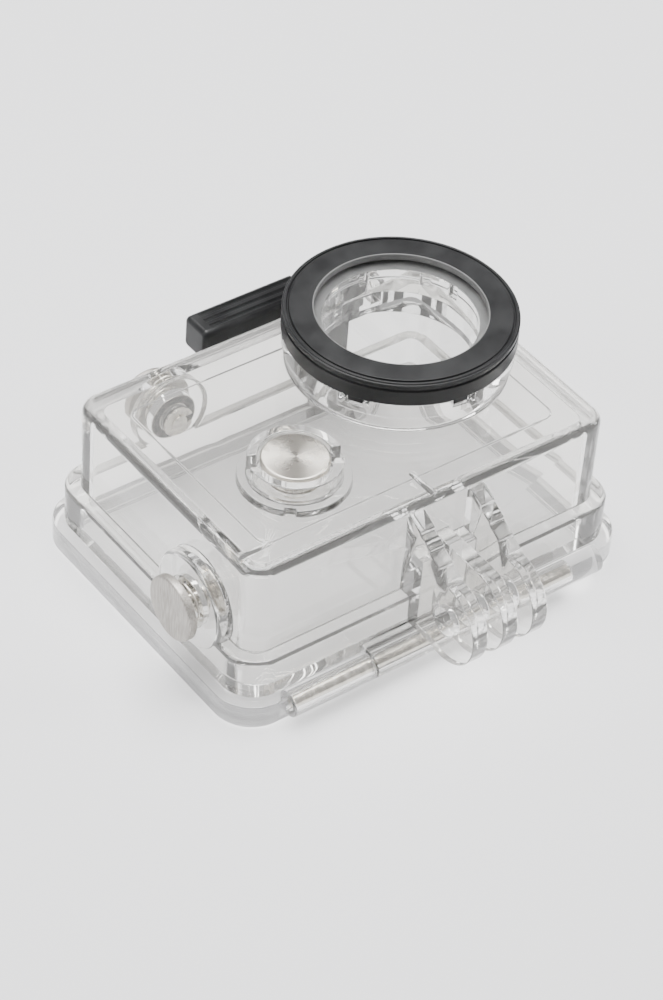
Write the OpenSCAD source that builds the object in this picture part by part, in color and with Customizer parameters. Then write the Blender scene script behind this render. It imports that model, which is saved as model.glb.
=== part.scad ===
// Clear waterproof housing for a small action camera, lying on its back door. Millimetres.
// +Z runs out through the lens port, +Y towards the latch, -Y towards the mounting fingers.
// The origin is the centre of the door's outer face.

/* [Camera space] */
// Inside length, along X
cavity_l = 65.2; // [60:0.2:80]
// Inside width, along Y
cavity_w = 44.4; // [42:0.2:54]
// Inside depth of the shell, along Z
cavity_h = 21.8; // [20:0.2:30]
// Inside corner radius
cavity_r = 2; // [1:0.5:3]

/* [Shell] */
// Thickness of the side walls
wall_t = 3; // [2.6:0.1:4]
// Thickness of the front wall
front_t = 2.5; // [2.4:0.1:4]
// Corner radius seen from the front
box_r = 4; // [3:0.5:6]
// Rounding of the front edge
edge_r = 1.5; // [0.5:0.1:2]
// How far the sealing flange stands out from the side walls
flange_out = 2.5; // [2.2:0.1:3]
// Height of the sealing flange
flange_h = 7.5; // [6:0.5:9]
// Rounding of the flange and door edges
flange_edge_r = 0.8; // [0.3:0.1:1]
// Depth of the shallow panel inside the front wall
panel_depth = 0.5; // [0.2:0.1:0.8]
// Margin between that panel and the side walls
panel_margin = 3.4; // [2:0.2:5]
// Radius of the two raised beads on the front edge
bead_r = 0.7; // [0.4:0.1:1]
// Length of each bead
bead_l = 5.6; // [4:0.2:8]

/* [Back door] */
// Height of the door rim
door_h = 4.7; // [4:0.1:6]
// How far the door rim stands out from the side walls
door_out = 4.2; // [3.8:0.1:5]
// Depth of the recess inside the door
door_recess = 0.5; // [0.2:0.1:1]
// Gap between the door rim and the shell
door_gap = 0.3; // [0.25:0.05:0.5]

/* [Door gasket] */
// Width of the gasket
gasket_w = 2.2; // [1.6:0.1:2.6]
// Height of the gasket
gasket_h = 1.85; // [1.4:0.05:2.2]
// Gap left above the gasket
gasket_gap = 0.06; // [0.03:0.01:0.1]

/* [Hinge] */
// Radius of the hinge barrel
barrel_r = 2.35; // [2:0.05:2.4]
// Radius of the hinge pin
hinge_pin_r = 1.1; // [0.8:0.05:1.3]
// Distance from the side wall to the hinge axis
hinge_out = 5.1; // [5:0.1:6]
// How far the hinge axis lies below the top of the door rim
hinge_drop = 0.2; // [0:0.1:0.6]
// Length of the middle knuckle, on the shell
knuckle_mid = 30.4; // [20:0.2:34]
// Length of each door knuckle
knuckle_door = 15.8; // [8:0.2:16]
// Gap between knuckles
knuckle_gap = 0.3; // [0.2:0.05:0.5]
// Length of hinge pin in the closed knuckle
pin_in_closed = 9.6; // [6:0.2:13]
// Length of hinge pin in the open knuckle
pin_in_open = 15.2; // [6:0.2:15.6]
// Gap round the middle knuckle in the door rim
knuckle_relief = 0.45; // [0.3:0.05:0.6]

/* [Lens port] */
// Radius of the clear opening
port_r = 13; // [10:0.2:14]
// Width of the ledge that the glass sits on, from the opening outwards
seat_w = 3.9; // [3.5:0.1:5]
// Height of the clear port above the front wall
port_h = 7.1; // [5:0.1:9]
// Thickness of the port glass
glass_t = 1.95; // [1.5:0.05:2.5]
// Radial thickness of the black ring outside the glass
ring_wall = 2.6; // [2.5:0.1:4]
// Thickness of the black ring over the glass
ring_lip_t = 1.2; // [0.8:0.1:2]
// How far the black ring reaches in over the glass
ring_lip_w = 2.6; // [1.5:0.1:3.2]
// Height of the black ring
ring_h = 4.3; // [4:0.1:6]
// Thickness of the O-ring under the glass
port_seal_d = 1; // [0.8:0.1:1.2]
// Gap between the glass and the ledge
glass_gap = 0.05; // [0:0.05:0.1]
// Width of the four bayonet tabs of the ring
tab_w = 2.6; // [2:0.2:4]
// Gap round each tab
tab_gap = 0.15; // [0.1:0.05:0.3]
// Distance from the black ring to the end wall
port_end_gap = 0.8; // [0.5:0.1:3]
// How far the black ring overhangs the wall with the latch
port_overhang = 0.1; // [0:0.1:0.4]

/* [Buttons] */
// Radius of the steel caps
cap_r = 5.6; // [4.8:0.1:5.7]
// Thickness of the caps
cap_t = 1.5; // [1:0.1:1.8]
// Travel of each button
button_travel = 1.5; // [1:0.1:1.8]
// Gap left under a cap when it is pressed in
press_gap = 0.4; // [0.3:0.1:0.8]
// Radius of the plungers
stem_r = 1.5; // [1:0.1:1.5]
// Running gap round each plunger
stem_fit = 0.05; // [0.02:0.01:0.1]
// Wall left under each plunger seal
seal_floor = 1.2; // [1:0.1:1.2]
// Thickness of the plunger O-rings
stem_seal_d = 1.04; // [0.8:0.02:1.04]
// Thickness of the washers
washer_t = 0.3; // [0.2:0.05:0.4]
// Radius of the spring pockets
pocket_r = 4.4; // [4:0.1:4.4]
// Wire diameter of the springs
spring_wire = 0.45; // [0.3:0.05:0.5]
// Thickness of the retaining clips
clip_t = 0.5; // [0.4:0.05:0.6]
// Outer radius of the retaining clips
clip_r = 2.8; // [2.2:0.1:3.2]

/* [Button places] */
// Front button, in from the short wall
front_button_inset_x = 18.9; // [16:0.1:20]
// Front button, in from the wall with the fingers
front_button_inset_y = 15.7; // [12:0.1:18]
// Side button, in from the wall with the fingers
side_button_inset_y = 13.2; // [12:0.1:18]
// Side button, down from the front wall
side_button_drop = 13.6; // [10:0.1:14]
// Top button, in from the short wall
top_button_inset_x = 18.6; // [14:0.1:24]
// Top button, down from the front wall
top_button_drop = 11.8; // [9:0.1:12]
// Radius of the boss round the side button
side_boss_r = 8.5; // [7:0.1:8.5]
// Radius of the boss round the top button
top_boss_r = 7; // [6:0.1:7.2]
// Height of those bosses
boss_h = 2.7; // [2.4:0.1:2.8]
// Radius of the base under the front button
front_base_r = 9.2; // [8.2:0.1:9.6]
// Height of that base
front_base_h = 1.2; // [0.8:0.1:1.4]
// Thickness of the guard ring round the front button
guard_t = 1.65; // [1:0.05:2]
// Gap between that ring and the cap
guard_gap = 0.5; // [0.3:0.1:0.8]

/* [Latch] */
// Radius of the latch pin
latch_pin_r = 1; // [0.8:0.05:1.1]
// Running gap of the latch and the door on their pins
hinge_fit = 0.05; // [0.02:0.01:0.1]
// Distance from the wall to the latch pin
latch_out = 4; // [3.9:0.1:4.6]
// How far the latch pin lies below the front wall
latch_drop = 1.5; // [1.2:0.1:2]
// Radius of the lugs round the latch pin
lug_r = 1.9; // [1.7:0.05:2]
// Thickness of each lug
lug_t = 2.5; // [2:0.1:3]
// Distance from the end wall to the middle of the latch arm
latch_inset_x = 16.4; // [14:0.1:18]
// Width of the latch arm
arm_w = 7.4; // [6:0.2:9]
// Thickness of the latch arm
arm_t = 2.2; // [1.8:0.1:2.6]
// Clearance of the latch round its lugs
latch_gap = 0.3; // [0.25:0.05:0.5]
// Width of the finger bar, out from the wall
bar_w = 6.2; // [5.8:0.1:7]
// Height of the finger bar
bar_h = 6.2; // [5.8:0.1:7]
// Distance from the wall to the finger bar
bar_out = 1.2; // [1.1:0.1:1.4]
// Height of the finger bar above the front wall
bar_rise = 0.9; // [0.6:0.1:1.2]
// Distance from the top button's cap to the end of the finger bar
bar_end_gap = 2.6; // [0.6:0.1:4]
// Rounding of the finger bar
bar_edge_r = 1.1; // [0.6:0.1:1.4]
// Radius of the grip grooves
groove_r = 0.5; // [0.3:0.05:0.6]
// Gap between hook and door catch
hook_gap = 0.35; // [0.3:0.05:0.4]
// How far the hook reaches under the catch
hook_grip = 0.4; // [0.3:0.05:0.4]
// Height of the hook's foot above the door's outer face
hook_foot = 0.5; // [0.4:0.1:0.8]

/* [Mounting fingers] */
// Thickness of each finger
finger_t = 3; // [2.8:0.05:3.1]
// Gap between fingers
finger_gap = 3; // [3:0.05:3.4]
// Radius of the round end of each finger
lobe_r = 7.5; // [7:0.1:7.5]
// Radius of the thumbscrew hole
screw_r = 2.5; // [2.4:0.05:2.6]
// Distance from the wall to the thumbscrew hole
fingers_out = 11.1; // [11:0.1:13]
// How far the thumbscrew hole lies below the front wall
fingers_drop = 15.3; // [14.6:0.1:15.4]
// Middle finger, from the middle of the housing
fingers_x = 1.5; // [-3:0.1:3]
// Steps on the sloping edge of the outer fingers
gusset_steps = 4; // [2:1:6]
// Height of each of those steps
step_h = 0.5; // [0.2:0.1:0.8]

/* [Hidden] */
$fn = 64;

// Extra length of a cutter beyond the surface it cuts
cut = 1;

// Outside of the shell
box_l = cavity_l + 2 * wall_t;
box_w = cavity_w + 2 * wall_t;
shell_z = door_h + door_gap;
inner_z = shell_z + cavity_h;
front_z = inner_z + front_t;
flange_z = shell_z + flange_h;
flange_l = box_l + 2 * flange_out;
flange_w = box_w + 2 * flange_out;
flange_r = box_r + flange_out - 0.5;
wall_y = box_w / 2;

// Door
door_l = box_l + 2 * door_out;
door_w = box_w + 2 * door_out;
door_r = flange_r + 1;
lip_y = door_w / 2;
gasket_top = shell_z - gasket_gap;
gasket_l = (cavity_l + flange_l) / 2 + gasket_w;
gasket_wid = (cavity_w + flange_w) / 2 + gasket_w;
gasket_r = (cavity_r + flange_r) / 2 + gasket_w / 2;

// Hinge
hinge_y = -(wall_y + hinge_out);
hinge_z = door_h - hinge_drop;
knuckle_x = knuckle_mid / 2;
knuckle_end = knuckle_x + knuckle_gap + knuckle_door;
pin_x0 = -(knuckle_x + knuckle_gap + pin_in_open);
pin_x1 = knuckle_x + knuckle_gap + pin_in_closed;

// Lens port
glass_r = port_r + seat_w;
ring_r = glass_r + ring_wall;
flange_port_r = ring_r - 0.2;
neck_r = ring_r - 0.9;
port_x = box_l / 2 - ring_r - port_end_gap;
port_y = box_w / 2 - ring_r + port_overhang;
ledge_z = front_z + port_h;
glass_z = ledge_z + glass_gap;
ring_top = glass_z + glass_t + ring_lip_t;
ring_z = ring_top - ring_h;
skirt_z = ring_z - 0.1;
port_seal_r = glass_r - port_seal_d / 2 - 0.8;
ring_groove_r = ring_r - 1.1;
tab_angles = [-149, -96, 31, 84];
inner_notch_angles = [10, 34, 80, 200];

// Buttons, each measured outwards from the inner face of its wall
seal_r = stem_r + stem_fit + stem_seal_d / 2;
seal_pocket_r = seal_r + stem_seal_d / 2;
seat_w_z = seal_floor + stem_seal_d + 0.06;
washer_top = seat_w_z + washer_t;
hub_r = 2.4;
hub_h = 1;
stem_end = 0.9;
clip_gap = 0.1;
clip_groove_r = stem_r - 0.35;
spring_r = pocket_r - 0.5 - spring_wire / 2;
front_face = front_t + front_base_h + press_gap + button_travel + cap_t;
side_face = wall_t + boss_h + press_gap + button_travel + cap_t;
front_button_x = -box_l / 2 + front_button_inset_x;
front_button_y = -wall_y + front_button_inset_y;
side_button_y = -wall_y + side_button_inset_y;
side_button_z = front_z - side_button_drop;
top_button_x = -box_l / 2 + top_button_inset_x;
top_button_z = front_z - top_button_drop;
guard_r = cap_r + guard_gap;
guard_angle = 157;

// Latch
latch_y = wall_y + latch_out;
latch_z = front_z - latch_drop;
arm_x = box_l / 2 - latch_inset_x;
arm_x0 = arm_x - arm_w / 2;
arm_x1 = arm_x + arm_w / 2;
lug_b_x = arm_x1 + latch_gap;
lug_a_x = arm_x0 - latch_gap - lug_t;
bar_x0 = top_button_x + cap_r + bar_end_gap;
bar_y0 = wall_y + bar_out;
bar_y1 = bar_y0 + bar_w;
bar_z1 = front_z + bar_rise;
bar_z0 = bar_z1 - bar_h;
catch_inset = 0.15;
catch_y = lip_y - catch_inset;
catch_top = 3;
catch_bevel = 1;
catch_depth = 2.6;
catch_side = 0.5;
arm_y0 = catch_y + hook_gap;
arm_y1 = arm_y0 + arm_t;
toe_y = catch_y - hook_grip;
// A 45 degree face this far below the catch bevel keeps the hook gap
bevel_shift = catch_y - catch_top + hook_gap * sqrt(2);

// Fingers
lobe_y = -(wall_y + fingers_out);
lobe_z = front_z - fingers_drop;
finger_pitch = finger_t + finger_gap;
fingers_w = 2 * finger_pitch + finger_t;
finger_root_z = hinge_z + barrel_r + 0.15;
web_y = -(wall_y + flange_out + 0.9);
web_top = lobe_z + 6;
gusset_y = -(wall_y + 1);
gusset_z = front_z - 0.7;

clear = [0.86, 0.9, 0.92, 0.4];
black = [0.05, 0.05, 0.05];
steel = [0.75, 0.74, 0.72];

// ---------- shared shapes ----------

module rounded_rect(l, w, r) {
    square([l - 2 * r, w], center = true);
    square([l, w - 2 * r], center = true);
    for (sx = [-1, 1], sy = [-1, 1]) translate([sx * (l / 2 - r), sy * (w / 2 - r)]) circle(r);
}

module slab(l, w, h, r) {
    linear_extrude(h) rounded_rect(l, w, r);
}

// A slab with its top edge rounded to radius e
module soft_slab(l, w, h, r, e) {
    slab(l, w, h - e, r);
    slab(l - 2 * e, w - 2 * e, h, r - e);
    for (s = [-1, 1]) {
        translate([0, s * (w / 2 - e), h - e]) rotate([0, 90, 0])
            cylinder(r = e, h = l - 2 * r, center = true);
        translate([s * (l / 2 - e), 0, h - e]) rotate([90, 0, 0])
            cylinder(r = e, h = w - 2 * r, center = true);
    }
    for (sx = [-1, 1], sy = [-1, 1]) translate([sx * (l / 2 - r), sy * (w / 2 - r), h - e])
        rotate(sx > 0 ? 180 : 0) rotate_extrude() translate([r - e, 0]) circle(e);
}

// Extrudes an outline drawn as (y, z) from x0 to x1
module along_x(x0, x1) {
    translate([x0, 0, 0]) rotate([90, 0, 90]) linear_extrude(x1 - x0) children();
}

module rod_x(x0, x1, y, z, r) {
    translate([x0, y, z]) rotate([0, 90, 0]) cylinder(r = r, h = x1 - x0);
}

module ring(r0, r1, z0, z1) {
    rotate_extrude() translate([r0, z0]) square([r1 - r0, z1 - z0]);
}

module o_ring(r, d, z) {
    rotate_extrude() translate([r, z]) circle(d / 2);
}

module at_port() {
    translate([port_x, port_y, 0]) children();
}

// Each of these puts a button's own axis on +Z with zero at the wall's inner face
module at_front_button() {
    translate([front_button_x, front_button_y, inner_z]) children();
}

module at_side_button() {
    translate([-cavity_l / 2, side_button_y, side_button_z]) rotate([0, -90, 0]) children();
}

module at_top_button() {
    translate([top_button_x, cavity_w / 2, top_button_z]) rotate([-90, 0, 0]) children();
}

// ---------- front shell ----------

module button_bore() {
    translate([0, 0, -cut]) cylinder(r = stem_r + stem_fit, h = seal_floor + 2 * cut);
    translate([0, 0, seal_floor]) cylinder(r = seal_pocket_r, h = seat_w_z - seal_floor + cut);
    translate([0, 0, seat_w_z]) cylinder(r = pocket_r, h = side_face);
}

module side_boss(r) {
    top = wall_t + boss_h;
    cylinder(r = r, h = top - flange_edge_r);
    cylinder(r = r - flange_edge_r, h = top);
    translate([0, 0, top - flange_edge_r]) rotate_extrude()
        translate([r - flange_edge_r, 0]) circle(flange_edge_r);
}

module front_guard() {
    base = front_t + front_base_h;
    difference() {
        union() {
            cylinder(r = front_base_r, h = base);
            ring(guard_r, guard_r + guard_t, base, front_face);
        }
        for (a = [0, 180]) rotate(guard_angle + a)
            translate([guard_r - cut, -1.3, base + 0.6]) cube([guard_t + 2 * cut, 2.6, front_face]);
        rotate(230) translate([front_base_r - 0.8, -0.9, front_t]) cube([cut, 1.8, front_base_h + cut]);
    }
}

module latch_lug(x0) {
    along_x(x0, x0 + lug_t) {
        translate([latch_y, latch_z]) circle(lug_r);
        translate([wall_y - cut, latch_z - lug_r]) square([latch_out + cut, 2 * lug_r]);
    }
}

module shell_knuckle() {
    rod_x(-knuckle_x, knuckle_x, hinge_y, hinge_z, barrel_r);
    along_x(-knuckle_x, knuckle_x) translate([hinge_y, shell_z])
        square([hinge_out - flange_out + cut, hinge_z + barrel_r - shell_z]);
}

module bead(x, y, angle) {
    translate([x, y, front_z - 0.2]) rotate(angle) {
        rotate([0, 90, 0]) cylinder(r = bead_r, h = bead_l);
        translate([bead_l, 0, 0]) sphere(bead_r);
    }
}

module shell_block() {
    translate([0, 0, shell_z]) {
        soft_slab(box_l, box_w, front_z - shell_z, box_r, edge_r);
        soft_slab(flange_l, flange_w, flange_h, flange_r, flange_edge_r);
    }
}

module front_shell() {
    color(clear) difference() {
        union() {
            shell_block();
            at_front_button() front_guard();
            at_side_button() side_boss(side_boss_r);
            at_top_button() side_boss(top_boss_r);
            shell_knuckle();
            latch_lug(lug_a_x);
            latch_lug(lug_b_x);
            bead(fingers_x - 1.8, -wall_y + 0.7, 90);
            bead(-box_l / 2 + 0.7, -wall_y + 5.5, 0);
        }
        translate([0, 0, shell_z - cut]) slab(cavity_l, cavity_w, cavity_h + cut, cavity_r);
        translate([0, 0, inner_z - cut])
            slab(cavity_l - 2 * panel_margin, cavity_w - 2 * panel_margin, panel_depth + cut, cavity_r);
        at_port() translate([0, 0, inner_z - cut]) cylinder(r = port_r, h = front_t + 2 * cut);
        at_front_button() button_bore();
        at_side_button() button_bore();
        at_top_button() button_bore();
        rod_x(-knuckle_x - cut, knuckle_x + cut, hinge_y, hinge_z, hinge_pin_r);
        rod_x(lug_a_x - cut, lug_b_x + lug_t + cut, latch_y, latch_z, latch_pin_r);
    }
}

// ---------- lens port ----------

module lens_port() {
    color(clear) at_port() difference() {
        union() {
            ring(port_r, neck_r, front_z, skirt_z);
            ring(port_r, flange_port_r, front_z + 3, skirt_z);
            ring(port_r, glass_r, front_z, ledge_z);
        }
        ring(port_seal_r - port_seal_d / 2, port_seal_r + port_seal_d / 2, ledge_z - port_seal_d,
            ledge_z + cut);
        for (a = tab_angles) rotate(a)
            translate([glass_r, -tab_w / 2 - tab_gap, skirt_z - 1.4]) cube([ring_wall, tab_w + 2 * tab_gap, 2]);
        for (a = inner_notch_angles) rotate(a) translate([port_r - cut, -0.8, front_z + 4.5])
            cube([cut + 1, 1.6, port_h]);
    }
}

module port_ring() {
    color(black) at_port() {
        difference() {
            ring(glass_r - ring_lip_w, ring_r, ring_z, ring_top);
            ring(0, glass_r, ring_z - cut, glass_z + glass_t);
            ring(ring_groove_r, ring_groove_r + 0.35, ring_top - 0.35, ring_top + cut);
            ring(ring_r - 0.35, ring_r + cut, ring_top - 1.6, ring_top - 1.1);
            ring(ring_r - 0.3, ring_r + cut, ring_top - 0.3, ring_top + cut);
        }
        for (a = tab_angles) rotate(a) difference() {
            translate([glass_r + 0.6, -tab_w / 2, ring_z - 1.2]) cube([ring_wall - 1, tab_w, 1.4]);
            translate([0, 0, ring_z - 2]) ring(flange_port_r, ring_r + cut, 0, 4);
        }
    }
}

module port_glass() {
    color([0.9, 0.95, 1, 0.3]) at_port() translate([0, 0, glass_z]) cylinder(r = glass_r, h = glass_t);
}

module port_seal() {
    color(black) at_port() o_ring(port_seal_r, port_seal_d, ledge_z - port_seal_d / 2);
}

// ---------- mounting fingers ----------

module finger_outline() {
    difference() {
        union() {
            translate([lobe_y, lobe_z]) circle(lobe_r);
            translate([lobe_y, finger_root_z]) square([fingers_out, lobe_z + lobe_r - finger_root_z]);
        }
        translate([lobe_y, lobe_z]) circle(screw_r);
    }
}

// The sloping edge runs from the front wall down to the top of the round end, in small steps
module gusset_outline() {
    run = gusset_y - lobe_y;
    fall = gusset_z - lobe_z - lobe_r;
    steps = [for (i = [0 : gusset_steps - 1], end = [0, 1]) [
        gusset_y - run * (i + end) / gusset_steps,
        gusset_z - fall * (i + end) / gusset_steps + (end - 0.5) * step_h
    ]];
    polygon(concat([[-wall_y, lobe_z], [-wall_y, gusset_z]], steps, [[lobe_y, lobe_z + lobe_r]],
        [[lobe_y + lobe_r, lobe_z]]));
}

module mount_fingers() {
    color(clear) difference() {
        union() {
            for (i = [-1 : 1]) {
                x0 = fingers_x + i * finger_pitch - finger_t / 2;
                along_x(x0, x0 + finger_t) {
                    finger_outline();
                    if (i != 0) gusset_outline();
                }
            }
            along_x(fingers_x - fingers_w / 2, fingers_x + fingers_w / 2)
                translate([web_y, finger_root_z]) square([-wall_y - web_y, web_top - finger_root_z]);
        }
        shell_block();
    }
}

// ---------- back door ----------

module door_knuckle(x0, x1) {
    rod_x(x0, x1, hinge_y, hinge_z, barrel_r);
    along_x(x0, x1) translate([hinge_y, hinge_z - barrel_r])
        square([hinge_y + lip_y + hinge_out, barrel_r]);
}

module catch_cut() {
    along_x(arm_x0 - catch_side, arm_x1 + catch_side) polygon([
        [catch_y, door_h + cut], [lip_y + cut, door_h + cut], [lip_y + cut, -cut],
        [lip_y - catch_depth, -cut], [lip_y - catch_depth, catch_top - catch_bevel],
        [catch_y - catch_bevel, catch_top - catch_bevel], [catch_y, catch_top]
    ]);
}

module back_door() {
    color(clear) difference() {
        union() {
            translate([0, 0, door_h]) mirror([0, 0, 1])
                soft_slab(door_l, door_w, door_h, door_r, flange_edge_r);
            door_knuckle(-knuckle_end, -knuckle_x - knuckle_gap);
            door_knuckle(knuckle_x + knuckle_gap, knuckle_end);
        }
        translate([0, 0, door_h - door_recess]) slab(cavity_l, cavity_w, door_recess + cut, cavity_r);
        translate([0, 0, gasket_top - gasket_h]) difference() {
            slab(gasket_l, gasket_wid, gasket_h, gasket_r);
            translate([0, 0, -cut]) slab(gasket_l - 2 * gasket_w, gasket_wid - 2 * gasket_w,
                gasket_h + 2 * cut, gasket_r - gasket_w);
        }
        rod_x(-knuckle_x - knuckle_gap, knuckle_x + knuckle_gap, hinge_y, hinge_z,
            barrel_r + knuckle_relief);
        rod_x(-knuckle_end - cut, -knuckle_x, hinge_y, hinge_z, hinge_pin_r + hinge_fit);
        rod_x(knuckle_x, pin_x1 + knuckle_gap, hinge_y, hinge_z, hinge_pin_r + hinge_fit);
        catch_cut();
    }
}

module door_gasket() {
    color([0.85, 0.85, 0.85, 0.7]) translate([0, 0, gasket_top - gasket_h]) difference() {
        slab(gasket_l, gasket_wid, gasket_h, gasket_r);
        translate([0, 0, -cut]) slab(gasket_l - 2 * gasket_w, gasket_wid - 2 * gasket_w,
            gasket_h + 2 * cut, gasket_r - gasket_w);
    }
}

module hinge_pin() {
    color(steel) rod_x(pin_x0, pin_x1, hinge_y, hinge_z, hinge_pin_r);
}

// ---------- latch ----------

module bar_outline() {
    translate([(bar_y0 + bar_y1) / 2, (bar_z0 + bar_z1) / 2]) rounded_rect(bar_w, bar_h, bar_edge_r);
}

module hook_outline() {
    polygon([
        [arm_y1, latch_z], [arm_y0, latch_z], [arm_y0, arm_y0 - bevel_shift],
        [toe_y, toe_y - bevel_shift], [toe_y, hook_foot], [arm_y1, hook_foot]
    ]);
}

// Room for a lug, from the wall round to the front as the latch swings open
module lug_room() {
    r = lug_r + latch_gap;
    along_x(lug_a_x - latch_gap, lug_a_x + lug_t + latch_gap) {
        translate([bar_y0 - cut, latch_z - r]) square([latch_y + r - bar_y0 + cut, bar_h]);
        translate([bar_y0 - cut, latch_z]) square([bar_w + 2 * cut, bar_h]);
    }
}

module latch_lever() {
    color(black) difference() {
        union() {
            along_x(bar_x0, arm_x1) bar_outline();
            along_x(arm_x0, arm_x1) hook_outline();
        }
        lug_room();
        rod_x(arm_x0 - cut, arm_x1 + cut, latch_y, latch_z, latch_pin_r + hinge_fit);
        for (i = [0 : 2]) rod_x(bar_x0 + 2, arm_x0 - 1, bar_y0 + 1.5 + 1.6 * i, bar_z1 + 0.15, groove_r);
    }
}

module latch_pin() {
    color(steel) rod_x(lug_a_x, lug_b_x + lug_t, latch_y, latch_z, latch_pin_r);
}

// ---------- buttons ----------

module button_cap(face) {
    edge = 0.35;
    color(steel) {
        translate([0, 0, face - cap_t]) cylinder(r = cap_r, h = cap_t - edge);
        translate([0, 0, face - edge]) cylinder(r = cap_r - edge, h = edge);
        translate([0, 0, face - edge]) rotate_extrude() translate([cap_r - edge, 0]) circle(edge);
    }
}

module button_plunger(face) {
    color(steel) rotate_extrude() polygon([
        [0, -stem_end], [stem_r, -stem_end], [stem_r, -clip_gap - clip_t],
        [clip_groove_r, -clip_gap - clip_t], [clip_groove_r, -clip_gap], [stem_r, -clip_gap],
        [stem_r, face - cap_t - hub_h], [hub_r, face - cap_t - hub_h], [hub_r, face - cap_t], [0, face - cap_t]
    ]);
}

// A round wire swept along a helix between the washer and the cap
module button_spring(face, turns) {
    sides = 8;
    rings = 20 * turns;
    wire = spring_wire / 2;
    z0 = washer_top + wire;
    z1 = face - cap_t - wire;
    points = [for (i = [0 : rings], j = [0 : sides - 1])
        let (a = 360 * turns * i / rings, b = 360 * j / sides, r = spring_r + wire * cos(b))
        [r * cos(a), r * sin(a), z0 + (z1 - z0) * i / rings + wire * sin(b)]];
    walls = [for (i = [0 : rings - 1], j = [0 : sides - 1], half = [0, 1])
        let (k = (j + 1) % sides, near = i * sides, far = near + sides)
        half == 0 ? [near + j, near + k, far + k] : [near + j, far + k, far + j]];
    ends = [[for (j = [sides - 1 : -1 : 0]) j], [for (j = [0 : sides - 1]) rings * sides + j]];
    color(steel) polyhedron(points, concat(walls, ends));
}

module button_washer() {
    color(steel) ring(stem_r + 0.1, pocket_r - 0.1, seat_w_z, washer_top);
}

module button_seal() {
    color(black) o_ring(seal_r, stem_seal_d, seal_floor + stem_seal_d / 2 + 0.03);
}

module button_clip() {
    color(steel) difference() {
        ring(clip_groove_r, clip_r, -clip_gap - clip_t, -clip_gap);
        translate([0, -clip_groove_r * 0.7, -2 * cut]) cube([clip_r + cut, clip_groove_r * 1.4, 2 * cut]);
    }
}

module front_button_cap() { at_front_button() button_cap(front_face); }
module front_button_plunger() { at_front_button() button_plunger(front_face); }
module front_button_spring() { at_front_button() button_spring(front_face, 2.5); }
module front_button_washer() { at_front_button() button_washer(); }
module front_button_seal() { at_front_button() button_seal(); }
module front_button_clip() { at_front_button() button_clip(); }
module side_button_cap() { at_side_button() button_cap(side_face); }
module side_button_plunger() { at_side_button() button_plunger(side_face); }
module side_button_spring() { at_side_button() button_spring(side_face, 4); }
module side_button_washer() { at_side_button() button_washer(); }
module side_button_seal() { at_side_button() button_seal(); }
module side_button_clip() { at_side_button() button_clip(); }
module top_button_cap() { at_top_button() button_cap(side_face); }
module top_button_plunger() { at_top_button() button_plunger(side_face); }
module top_button_spring() { at_top_button() button_spring(side_face, 4); }
module top_button_washer() { at_top_button() button_washer(); }
module top_button_seal() { at_top_button() button_seal(); }
module top_button_clip() { at_top_button() button_clip(); }

front_shell();
lens_port();
mount_fingers();
port_glass();
port_seal();
port_ring();
back_door();
door_gasket();
hinge_pin();
latch_lever();
latch_pin();
front_button_cap();
front_button_plunger();
front_button_spring();
front_button_washer();
front_button_seal();
front_button_clip();
side_button_cap();
side_button_plunger();
side_button_spring();
side_button_washer();
side_button_seal();
side_button_clip();
top_button_cap();
top_button_plunger();
top_button_spring();
top_button_washer();
top_button_seal();
top_button_clip();
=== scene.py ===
import math

import bmesh
import bpy
from mathutils import Matrix, Vector
from mathutils.kdtree import KDTree


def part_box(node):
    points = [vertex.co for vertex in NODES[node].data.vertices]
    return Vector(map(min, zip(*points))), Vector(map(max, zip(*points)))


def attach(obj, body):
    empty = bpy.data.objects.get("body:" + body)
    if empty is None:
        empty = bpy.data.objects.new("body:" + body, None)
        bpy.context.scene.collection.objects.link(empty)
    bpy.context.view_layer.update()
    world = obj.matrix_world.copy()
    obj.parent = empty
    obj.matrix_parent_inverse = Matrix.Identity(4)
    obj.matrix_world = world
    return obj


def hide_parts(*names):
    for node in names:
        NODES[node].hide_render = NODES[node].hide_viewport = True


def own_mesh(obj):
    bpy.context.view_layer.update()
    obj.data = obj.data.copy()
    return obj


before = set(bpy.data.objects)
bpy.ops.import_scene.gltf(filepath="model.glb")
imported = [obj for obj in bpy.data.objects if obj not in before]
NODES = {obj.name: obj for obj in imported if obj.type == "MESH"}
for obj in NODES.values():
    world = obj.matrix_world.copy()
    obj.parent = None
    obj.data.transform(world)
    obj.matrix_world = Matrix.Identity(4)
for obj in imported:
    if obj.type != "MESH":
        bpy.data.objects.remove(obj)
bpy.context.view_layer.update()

MM = 0.001

# ---------------------------------------------------------------- camera and surroundings

# Angles in degrees. The camera turns about the pivot and looks at the aim.
CAMERA_AZIMUTH = -39.547
CAMERA_ELEVATION = 42.626
CAMERA_ROLL = 4.676
CAMERA_DISTANCE = 560.5 * MM
CAMERA_PIVOT = Vector((0, 0, -2.4 * MM))
CAMERA_AIM = Vector((3.2, 5.0, 4.1)) * MM
LENS_MM = 120.24
SENSOR_MM = 36
NEAREST_SEEN = 10 * MM

FLOOR_HALF_WIDTH = 3.0
FLOOR_COLOUR = (0.80, 0.80, 0.81, 1)
FLOOR_ROUGHNESS = 0.7
ROOM_COLOUR = (0.60, 0.60, 0.61, 1)
ROOM_STRENGTH = 0.8


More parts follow.
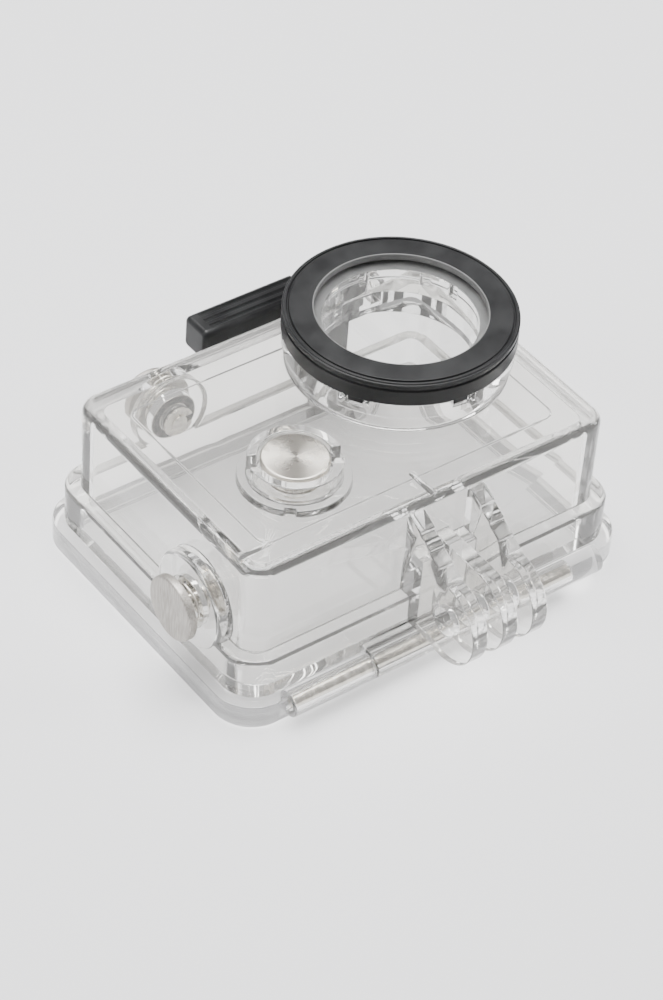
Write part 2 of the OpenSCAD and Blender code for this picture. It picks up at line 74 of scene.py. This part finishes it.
def add_camera():
    """The camera looks down at the near corner, tilted a little, from about half a metre."""
    az, el, roll = (math.radians(a) for a in (CAMERA_AZIMUTH, CAMERA_ELEVATION, CAMERA_ROLL))
    back = Vector((math.sin(az) * math.cos(el), -math.cos(az) * math.cos(el), math.sin(el)))
    right = Vector((math.cos(az), math.sin(az), 0))
    up = back.cross(right)
    tilted_right = right * math.cos(roll) + up * math.sin(roll)
    place = CAMERA_PIVOT + back * CAMERA_DISTANCE
    look = (place - CAMERA_AIM).normalized()
    tilted_right = (tilted_right - look * tilted_right.dot(look)).normalized()
    tilted_up = look.cross(tilted_right)
    data = bpy.data.cameras.new("camera")
    data.lens = LENS_MM
    data.sensor_width = SENSOR_MM
    data.clip_start = NEAREST_SEEN
    camera = bpy.data.objects.new("camera", data)
    turn = Matrix((tilted_right, tilted_up, look)).transposed().to_4x4()
    camera.matrix_world = Matrix.Translation(place) @ turn
    bpy.context.scene.collection.objects.link(camera)
    bpy.context.scene.camera = camera


def add_area_light(name, place, aim, size, power):
    """A soft rectangular lamp, of the size (width, height) in metres, that points at its aim."""
    data = bpy.data.lights.new(name, "AREA")
    data.shape = "RECTANGLE"
    data.size, data.size_y = size
    data.energy = power
    lamp = bpy.data.objects.new(name, data)
    lamp.location = place
    lamp.rotation_euler = (Vector(aim) - Vector(place)).to_track_quat("-Z", "Y").to_euler()
    bpy.context.scene.collection.objects.link(lamp)


def add_floor():
    w = FLOOR_HALF_WIDTH
    mesh = bpy.data.meshes.new("floor")
    mesh.from_pydata([(-w, -w, 0), (w, -w, 0), (w, w, 0), (-w, w, 0)], [], [(0, 1, 2, 3)])
    floor = bpy.data.objects.new("floor", mesh)
    bpy.context.scene.collection.objects.link(floor)
    material, _, shader = new_material("pale_floor")
    shader.inputs["Base Color"].default_value = FLOOR_COLOUR
    shader.inputs["Roughness"].default_value = FLOOR_ROUGHNESS
    mesh.materials.append(material)


def add_studio():
    """A pale floor, a soft light overhead, a weaker one on either side and a dim grey room."""
    add_floor()
    world = bpy.data.worlds.new("room")
    world.use_nodes = True
    background = world.node_tree.nodes["Background"]
    background.inputs["Color"].default_value = ROOM_COLOUR
    background.inputs["Strength"].default_value = ROOM_STRENGTH
    bpy.context.scene.world = world
    add_area_light("overhead", (0.05, 0.15, 0.75), aim=(0, 0, 0), size=(0.6, 0.6), power=15)
    add_area_light("from_left", (-0.65, 0.1, 0.45), aim=(0, 0, 0.01), size=(0.35, 0.5), power=3)
    add_area_light("from_right", (0.6, -0.25, 0.35), aim=(0, 0, 0.01), size=(0.2, 0.5), power=2.5)


# ---------------------------------------------------------------- material tools

LAMP_TINT = (0.92, 0.92, 0.92, 1)    # what clear plastic leaves of a lamp's light


def new_material(name):
    """A new material with its node tree and its main shader."""
    material = bpy.data.materials.new(name)
    material.use_nodes = True
    tree = material.node_tree
    return material, tree, tree.nodes["Principled BSDF"]


def add_node(tree, kind, values=None, **settings):
    """A new node with these settings, and these values on its input sockets."""
    node = tree.nodes.new(kind)
    for key, value in settings.items():
        setattr(node, key, value)
    for socket, value in (values or {}).items():
        node.inputs[socket].default_value = value
    return node


def noise(tree, scale, detail=3, source=None):
    """Noise with scale cells to the metre, or to the unit of another source of coordinates."""
    node = add_node(tree, "ShaderNodeTexNoise", {"Scale": scale, "Detail": detail})
    if source is None:
        source = add_node(tree, "ShaderNodeTexCoord").outputs["Object"]
    tree.links.new(source, node.inputs["Vector"])
    return node.outputs["Fac"]


def ramp(tree, source, low, high, start=0.35, end=0.65):
    """Goes from low to high as the source goes from start to end."""
    values = {"From Min": start, "From Max": end, "To Min": low, "To Max": high}
    node = add_node(tree, "ShaderNodeMapRange", values)
    tree.links.new(source, node.inputs["Value"])
    return node.outputs["Result"]


def colour_ramp(tree, source, dark, light, start=0.3, end=0.7):
    """Goes from the dark colour to the light one as the source goes from start to end."""
    node = add_node(tree, "ShaderNodeValToRGB")
    for stop, position, colour in zip(node.color_ramp.elements, (start, end), (dark, light)):
        stop.position = position
        stop.color = (*colour, 1)
    tree.links.new(source, node.inputs["Fac"])
    return node.outputs["Color"]


def bump(tree, shader, height, strength, distance):
    """Raises the surface by up to the distance, in metres, where the height is most."""
    node = add_node(tree, "ShaderNodeBump", {"Strength": strength, "Distance": distance})
    tree.links.new(height, node.inputs["Height"])
    tree.links.new(node.outputs["Normal"], shader.inputs["Normal"])


def let_lamps_through(tree, shader):
    """Rays from lamps pass straight through, so what stands behind clear plastic stays lit."""
    clear = add_node(tree, "ShaderNodeBsdfTransparent", {"Color": LAMP_TINT})
    path = add_node(tree, "ShaderNodeLightPath")
    mix = add_node(tree, "ShaderNodeMixShader")
    tree.links.new(path.outputs["Is Shadow Ray"], mix.inputs["Fac"])
    tree.links.new(shader.outputs["BSDF"], mix.inputs[1])
    tree.links.new(clear.outputs["BSDF"], mix.inputs[2])
    tree.links.new(mix.outputs["Shader"], tree.nodes["Material Output"].inputs["Surface"])


def distance_from_axis(tree, axis):
    """How far a point lies from the middle of its object, across the given axis; 0.5 is the rim."""
    across = [i for i in range(3) if i != "XYZ".index(axis)]
    coords = add_node(tree, "ShaderNodeTexCoord")
    centred = add_node(tree, "ShaderNodeVectorMath", {1: (0.5, 0.5, 0.5)}, operation="SUBTRACT")
    tree.links.new(coords.outputs["Generated"], centred.inputs[0])
    split = add_node(tree, "ShaderNodeSeparateXYZ")
    tree.links.new(centred.outputs["Vector"], split.inputs["Vector"])
    flat = add_node(tree, "ShaderNodeCombineXYZ")
    for target, source in zip("XY", across):
        tree.links.new(split.outputs[source], flat.inputs[target])
    radius = add_node(tree, "ShaderNodeVectorMath", operation="LENGTH")
    tree.links.new(flat.outputs["Vector"], radius.inputs[0])
    return radius.outputs["Value"]


# ---------------------------------------------------------------- materials

RING_WALL_TO = 0.371         # how far out the ring's inner wall reaches, where 0.5 is the ring's rim; that wall carries a painted reflection in a paler grey
RING_WALL_FADE = 0.002
STROKE_STRETCH = 0.06        # how fast brushed steel changes along its strokes, compared with across


def clear_plastic(name, tint, ior, wave, haze, milk=0.0):
    """Moulded clear plastic: faint flow waves, fine scratches that vary over it, and a little milkiness."""
    material, tree, shader = new_material(name)
    shader.inputs["Base Color"].default_value = (*tint, 1)
    shader.inputs["Transmission Weight"].default_value = 1 - milk
    shader.inputs["IOR"].default_value = ior
    tree.links.new(ramp(tree, noise(tree, 900, 6), 0.0, haze), shader.inputs["Roughness"])
    bump(tree, shader, noise(tree, 70, 2), 0.25, wave)
    let_lamps_through(tree, shader)
    return material


def black_plastic(name, painted_reflection_inside=False):
    """Satin black moulding with a fine spark-eroded grain; a ring can carry a painted reflection of the
    bright room, a paler grey, on its inner wall.
    """
    material, tree, shader = new_material(name)
    patches = noise(tree, 160, 5)
    colour = colour_ramp(tree, patches, (0.006, 0.006, 0.0065), (0.015, 0.0155, 0.016))
    if painted_reflection_inside:
        # painted reflection: the inner wall's paler grey stands in for the bright room reflected in the
        # black plastic
        painted_reflection_colour = colour_ramp(tree, patches, (0.12, 0.12, 0.119), (0.16, 0.16, 0.158))
        far_out = distance_from_axis(tree, "Z")
        on_painted_reflection = ramp(tree, far_out, 1, 0, RING_WALL_TO, RING_WALL_TO + RING_WALL_FADE)
        mix = add_node(tree, "ShaderNodeMix", data_type="RGBA")
        tree.links.new(on_painted_reflection, mix.inputs["Factor"])
        tree.links.new(colour, mix.inputs[6])
        tree.links.new(painted_reflection_colour, mix.inputs[7])
        colour = mix.outputs[2]
    tree.links.new(colour, shader.inputs["Base Color"])
    shader.inputs["Specular IOR Level"].default_value = 0.28
    tree.links.new(ramp(tree, patches, 0.32, 0.48), shader.inputs["Roughness"])
    bump(tree, shader, noise(tree, 5200, 2), 0.22, 0.04 * MM)
    return material


def black_rubber():
    """Dull black rubber with a greyish bloom."""
    material, tree, shader = new_material("black_rubber")
    bloom = noise(tree, 700, 4)
    colour = colour_ramp(tree, bloom, (0.010, 0.010, 0.010), (0.030, 0.030, 0.030))
    tree.links.new(colour, shader.inputs["Base Color"])
    tree.links.new(ramp(tree, bloom, 0.55, 0.75), shader.inputs["Roughness"])
    bump(tree, shader, bloom, 0.2, 0.03 * MM)
    return material


def clear_silicone():
    """Milky translucent silicone."""
    material, tree, shader = new_material("clear_silicone")
    milk = noise(tree, 300, 3)
    colour = colour_ramp(tree, milk, (0.80, 0.80, 0.79), (0.90, 0.90, 0.90))
    tree.links.new(colour, shader.inputs["Base Color"])
    shader.inputs["Transmission Weight"].default_value = 0.75
    shader.inputs["IOR"].default_value = 1.42
    tree.links.new(ramp(tree, milk, 0.30, 0.42), shader.inputs["Roughness"])
    bump(tree, shader, milk, 0.2, 0.05 * MM)
    let_lamps_through(tree, shader)
    return material


def grey_bond():
    """The grey, slightly translucent adhesive that holds the glass on its ledge."""
    material, tree, shader = new_material("grey_bond")
    patches = noise(tree, 400, 4)
    colour = colour_ramp(tree, patches, (0.13, 0.13, 0.129), (0.18, 0.18, 0.178))
    tree.links.new(colour, shader.inputs["Base Color"])
    shader.inputs["Specular IOR Level"].default_value = 0.2
    shader.inputs["Transmission Weight"].default_value = 0.5
    tree.links.new(ramp(tree, patches, 0.6, 0.75), shader.inputs["Roughness"])
    bump(tree, shader, patches, 0.2, 0.03 * MM)
    return material


def spun_steel(name, axis):
    """A turned steel face: fine rings round the axis, and a highlight that fans out from its centre."""
    material, tree, shader = new_material(name)
    shader.inputs["Metallic"].default_value = 1
    shader.inputs["Anisotropic"].default_value = 0.85
    along = add_node(tree, "ShaderNodeCombineXYZ")
    tree.links.new(distance_from_axis(tree, axis), along.inputs["X"])
    rings = noise(tree, 150, 4, along.outputs["Vector"])
    colour = colour_ramp(tree, rings, (0.50, 0.465, 0.41), (0.76, 0.72, 0.65))
    tree.links.new(colour, shader.inputs["Base Color"])
    tree.links.new(ramp(tree, noise(tree, 260, 3), 0.22, 0.34), shader.inputs["Roughness"])
    bump(tree, shader, rings, 0.35, 0.03 * MM)
    tangent = add_node(tree, "ShaderNodeTangent", direction_type="RADIAL", axis=axis)
    tree.links.new(tangent.outputs["Tangent"], shader.inputs["Tangent"])
    return material


def brushed_steel(name, axis):
    """A matte steel face, its strokes drawn out along one direction across the given axis."""
    material, tree, shader = new_material(name)
    shader.inputs["Metallic"].default_value = 1
    coords = add_node(tree, "ShaderNodeTexCoord")
    stretch = (1, 1, STROKE_STRETCH) if axis == "X" else (STROKE_STRETCH, 1, 1)
    strokes = add_node(tree, "ShaderNodeMapping", {"Scale": stretch}, vector_type="POINT")
    tree.links.new(coords.outputs["Object"], strokes.inputs["Vector"])
    brushed = noise(tree, 6000, 3, strokes.outputs["Vector"])
    colour = colour_ramp(tree, brushed, (0.27, 0.255, 0.235), (0.50, 0.475, 0.44))
    tree.links.new(colour, shader.inputs["Base Color"])
    tree.links.new(ramp(tree, noise(tree, 420, 4), 0.42, 0.58), shader.inputs["Roughness"])
    bump(tree, shader, brushed, 0.4, 0.04 * MM)
    return material


def bright_steel(name, roughness):
    """Drawn or turned steel with faint cloudy patches."""
    material, tree, shader = new_material(name)
    shader.inputs["Metallic"].default_value = 1
    patches = noise(tree, 900, 5)
    colour = colour_ramp(tree, patches, (0.58, 0.55, 0.50), (0.82, 0.79, 0.73))
    tree.links.new(colour, shader.inputs["Base Color"])
    tree.links.new(ramp(tree, patches, roughness, roughness + 0.14), shader.inputs["Roughness"])
    bump(tree, shader, patches, 0.1, 0.02 * MM)
    return material


# ---------------------------------------------------------------- mesh tools

SAME_PLACE = 2e-7            # vertices this close are one, in metres
SHARP_FROM = 42              # edges that turn more than this, in degrees, are shaded sharp

ROUND_FROM = 30              # edges that turn between these angles, in degrees, are rounded
ROUND_TO = 130
FOLDED_FROM = 120            # a rounded surface that turns more than this has folded over
ROUND_STEPS = 3
ROUND_WELD = 0.03 * MM       # shorter edges close up before the rounding
FOLD_REACH = 0.4 * MM        # edges this near to a new fold stay sharp
SAME_FOLD = 0.001 * MM       # a fold this near to one that was there before isn't new
MOST_TRIES = 8


def give(piece, material):
    """The piece has this one material."""
    piece.data.materials.clear()
    piece.data.materials.append(material)


def new_piece(name, bm):
    """An object in the scene, made from a bmesh, which is freed."""
    mesh = bpy.data.meshes.new(name)
    bm.to_mesh(mesh)
    bm.free()
    piece = bpy.data.objects.new(name, mesh)
    bpy.context.scene.collection.objects.link(piece)
    return piece


def welded_copy(node):
    """The CAD node's mesh with the vertices joined that its sharp edges had split."""
    bm = bmesh.new()
    bm.from_mesh(NODES[node].data)
    bmesh.ops.remove_doubles(bm, verts=bm.verts, dist=SAME_PLACE)
    return new_piece(node + "_looks", bm)


def applied(piece):
    """Replaces the piece's mesh with what its modifiers make of it."""
    graph = bpy.context.evaluated_depsgraph_get()
    mesh = bpy.data.meshes.new_from_object(piece.evaluated_get(graph))
    old = piece.data
    piece.modifiers.clear()
    piece.data = mesh
    bpy.data.meshes.remove(old)


def join_solids(piece, others):
    """Merges other solids into the piece, so no wall is left inside where they touch."""
    for other in others:
        step = piece.modifiers.new("join", "BOOLEAN")
        step.operation = "UNION"
        step.solver = "EXACT"
        step.object = other
        applied(piece)
        bpy.data.objects.remove(other)


def folds(bm, degrees):
    """The ends of every edge where the surface turns by more than this."""
    limit = math.radians(degrees)
    return [v.co.copy() for e in bm.edges if len(e.link_faces) == 2 and e.calc_face_angle(0) > limit
            for v in e.verts]


def distance_to(points):
    """A function that says how far a place is from the nearest of the points."""
    tree = KDTree(len(points))
    for index, point in enumerate(points):
        tree.insert(point, index)
    tree.balance()
    return lambda place: tree.find(place)[2] if points else math.inf


def bevelled(base, chosen, width):
    """A copy of the mesh with the chosen edges, given by index, rounded."""
    work = base.copy()
    work.edges.ensure_lookup_table()
    bmesh.ops.bevel(work, geom=[work.edges[i] for i in sorted(chosen)], offset=width, offset_type="OFFSET",
                    segments=ROUND_STEPS, profile=0.5, affect="EDGES", clamp_overlap=False,
                    loop_slide=False, miter_outer="SHARP", miter_inner="SHARP", material=-1)
    return work


def near_fold(edge, from_fold):
    """Whether either end of the edge, or its middle, is within reach of a fold."""
    one, two = (v.co for v in edge.verts)
    return min(from_fold(place) for place in (one, two, (one + two) / 2)) <= FOLD_REACH


def round_edges(piece, width):
    """Rounds the sharp edges, leaving sharp the few whose rounding would fold the surface over."""
    base = bmesh.new()
    base.from_mesh(piece.data)
    bmesh.ops.remove_doubles(base, verts=base.verts, dist=ROUND_WELD)
    bmesh.ops.dissolve_degenerate(base, edges=base.edges, dist=ROUND_WELD)
    base.edges.ensure_lookup_table()
    base.edges.index_update()
    low, high = math.radians(ROUND_FROM), math.radians(ROUND_TO)
    chosen = {e.index for e in base.edges if len(e.link_faces) == 2 and low < e.calc_face_angle(0) < high}
    from_old_fold = distance_to(folds(base, ROUND_TO))
    for _ in range(MOST_TRIES):
        work = bevelled(base, chosen, width)
        new_folds = [place for place in folds(work, FOLDED_FROM) if from_old_fold(place) > SAME_FOLD]
        if not new_folds:
            break
        work.free()
        from_new_fold = distance_to(new_folds)
        chosen = {i for i in chosen if not near_fold(base.edges[i], from_new_fold)}
    else:
        work = bevelled(base, chosen, width)
    work.to_mesh(piece.data)
    work.free()
    base.free()
    even_shading(piece)


def shade(piece):
    """Curves are shaded smooth, with a sharp line where an edge is sharp."""
    piece.data.shade_smooth()
    piece.data.set_sharp_from_angle(angle=math.radians(SHARP_FROM))


def even_shading(piece):
    """Smooth curves and sharp lines, with flat faces that stay flat up to their rounded edges."""
    shade(piece)
    step = piece.modifiers.new("even", "WEIGHTED_NORMAL")
    step.keep_sharp = True
    applied(piece)


def lathe(name, centre, profile, turns=160):
    """Spins a closed profile of (radius, height) points about a vertical line through the centre."""
    bm = bmesh.new()
    rings = []
    for step in range(turns):
        angle = 2 * math.pi * step / turns
        rings.append([bm.verts.new((centre.x + r * math.cos(angle), centre.y + r * math.sin(angle), z))
                      for r, z in profile])
    for step in range(turns):
        one, two = rings[step], rings[(step + 1) % turns]
        for i in range(len(profile)):
            j = (i + 1) % len(profile)
            bm.faces.new((one[i], two[i], two[j], one[j]))
    bmesh.ops.recalc_face_normals(bm, faces=bm.faces)
    return new_piece(name, bm)


# ---------------------------------------------------------------- pieces

BAR_END_ROUNDING = 0.95 * MM
BAR_END_STEPS = 5
BAR_END_DEPTH = 0.01 * MM    # what lies this near to the bar's tip is its end face
FLAT_WITHIN = 0.3            # degrees; faces this nearly level become one

# The port glass's adhesive: a film in the gap under the glass, and a skin round its rim. The insets
# are measured inwards from the rim of the glass.
FILM_INNER_INSET = 3.9 * MM      # to the inner edge of the ledge that the glass lies on
FILM_OUTER_INSET = 0.05 * MM
FILM_GAP = 0.012 * MM
FILM_THICKNESS = 0.024 * MM
SKIN_INNER_INSET = 0.04 * MM
SKIN_OUTER_INSET = 0.01 * MM


def clear_housing(material):
    """The front shell, its lens port and its mounting fingers are one moulding."""
    piece = welded_copy("front_shell")
    piece.name = "clear_front_shell"
    join_solids(piece, [welded_copy("lens_port"), welded_copy("mount_fingers")])
    round_edges(piece, width=0.22 * MM)
    give(piece, material)
    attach(piece, "housing")
    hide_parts("front_shell", "lens_port", "mount_fingers")


def rounded_stand_in(node, body, material, rounding, spread=1.0):
    """A copy of a CAD node with its sharp edges rounded, and drawn in a little if asked."""
    piece = welded_copy(node)
    low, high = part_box(node)
    middle = (low + high) / 2
    for vertex in piece.data.vertices:
        vertex.co.x = middle.x + (vertex.co.x - middle.x) * spread
        vertex.co.y = middle.y + (vertex.co.y - middle.y) * spread
    round_edges(piece, rounding)
    give(piece, material)
    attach(piece, body)
    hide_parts(node)


def glass_bond(material):
    """The adhesive under the port glass and round its rim."""
    low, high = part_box("port_glass")
    radius = (high.x - low.x) / 2
    film_top = low.z - FILM_GAP
    for name, inner_inset, outer_inset, foot, top in (
            ("glass_bond_film", FILM_INNER_INSET, FILM_OUTER_INSET, film_top - FILM_THICKNESS, film_top),
            ("glass_bond_rim", SKIN_INNER_INSET, SKIN_OUTER_INSET, low.z, high.z - SKIN_OUTER_INSET)):
        inner, outer = radius - inner_inset, radius - outer_inset
        piece = lathe(name, (low + high) / 2, [(inner, foot), (outer, foot), (outer, top), (inner, top)])
        shade(piece)
        give(piece, material)
        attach(piece, "housing")


def latch_stand_in(material):
    """The latch, with the free end of its bar rounded off more than its other edges."""
    piece = welded_copy("latch_lever")
    bm = bmesh.new()
    bm.from_mesh(piece.data)
    bmesh.ops.dissolve_limit(bm, angle_limit=math.radians(FLAT_WITHIN), verts=bm.verts, edges=bm.edges)
    end = min(v.co.x for v in bm.verts) + BAR_END_DEPTH
    sharp = math.radians(ROUND_FROM)
    rim = [e for e in bm.edges if all(v.co.x < end for v in e.verts) and e.calc_face_angle(0) > sharp]
    bmesh.ops.bevel(bm, geom=rim, offset=BAR_END_ROUNDING, offset_type="OFFSET", segments=BAR_END_STEPS,
                    profile=0.5, affect="EDGES", clamp_overlap=False, material=-1)
    bm.to_mesh(piece.data)
    bm.free()
    round_edges(piece, width=0.25 * MM)
    give(piece, material)
    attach(piece, "latch")
    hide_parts("latch_lever")


def button_spring(button, material):
    """The button's spring, fixed to the housing where it is seated, with a mesh of its own."""
    node = button + "_spring"
    piece = welded_copy(node)
    even_shading(piece)
    give(piece, material)
    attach(piece, "housing")
    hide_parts(node)
    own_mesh(piece)


def push_button(button, cap_steel, steel, wire, rubber):
    """A button's moving cap, plunger and clip, and the washer, seal and spring that it works against."""
    rounded_stand_in(button + "_cap", button, cap_steel, rounding=0.2 * MM)
    rounded_stand_in(button + "_plunger", button, steel, rounding=0.1 * MM)
    rounded_stand_in(button + "_clip", button, wire, rounding=0.05 * MM)
    rounded_stand_in(button + "_washer", "housing", steel, rounding=0.1 * MM)
    rounded_stand_in(button + "_seal", "housing", rubber, rounding=0.01 * MM)
    button_spring(button, wire)


# ---------------------------------------------------------------- the object

GLASS_FIT = 0.996            # the glass's width, as a share of its CAD solid's, which clears its bond

add_camera()
add_studio()

clear = clear_plastic("clear_polycarbonate", tint=(0.99, 0.982, 0.962), ior=1.586, wave=0.06 * MM,
                      haze=0.03, milk=0.03)
glass = clear_plastic("port_glass", tint=(0.985, 0.99, 0.985), ior=1.52, wave=0.005 * MM, haze=0.02)
black = black_plastic("black_plastic")
# the port ring's black plastic, with a painted reflection in paler grey on its inner wall
ring_black_painted_reflection = black_plastic("ring_plastic_painted_reflection", painted_reflection_inside=True)
rubber = black_rubber()
silicone = clear_silicone()
steel = bright_steel("polished_steel", roughness=0.12)
wire = bright_steel("spring_steel", roughness=0.22)

clear_housing(clear)
rounded_stand_in("back_door", "door", clear, rounding=0.2 * MM)
rounded_stand_in("port_ring", "housing", ring_black_painted_reflection, rounding=0.12 * MM)
latch_stand_in(black)
glass_bond(grey_bond())
rounded_stand_in("port_glass", "housing", glass, rounding=0.2 * MM, spread=GLASS_FIT)
rounded_stand_in("port_seal", "housing", rubber, rounding=0.01 * MM)
rounded_stand_in("door_gasket", "door", silicone, rounding=0.25 * MM)
rounded_stand_in("hinge_pin", "housing", steel, rounding=0.15 * MM)
rounded_stand_in("latch_pin", "housing", steel, rounding=0.15 * MM)

for side, axis, press, cap_finish in (
        ("front", "Z", (0, 0, -1), spun_steel),
        ("side", "X", (1, 0, 0), brushed_steel),
        ("top", "Y", (0, -1, 0), brushed_steel)):
    cap_steel = cap_finish(side + "_cap_steel", axis)
    push_button(side + "_button", cap_steel, steel, wire, rubber)
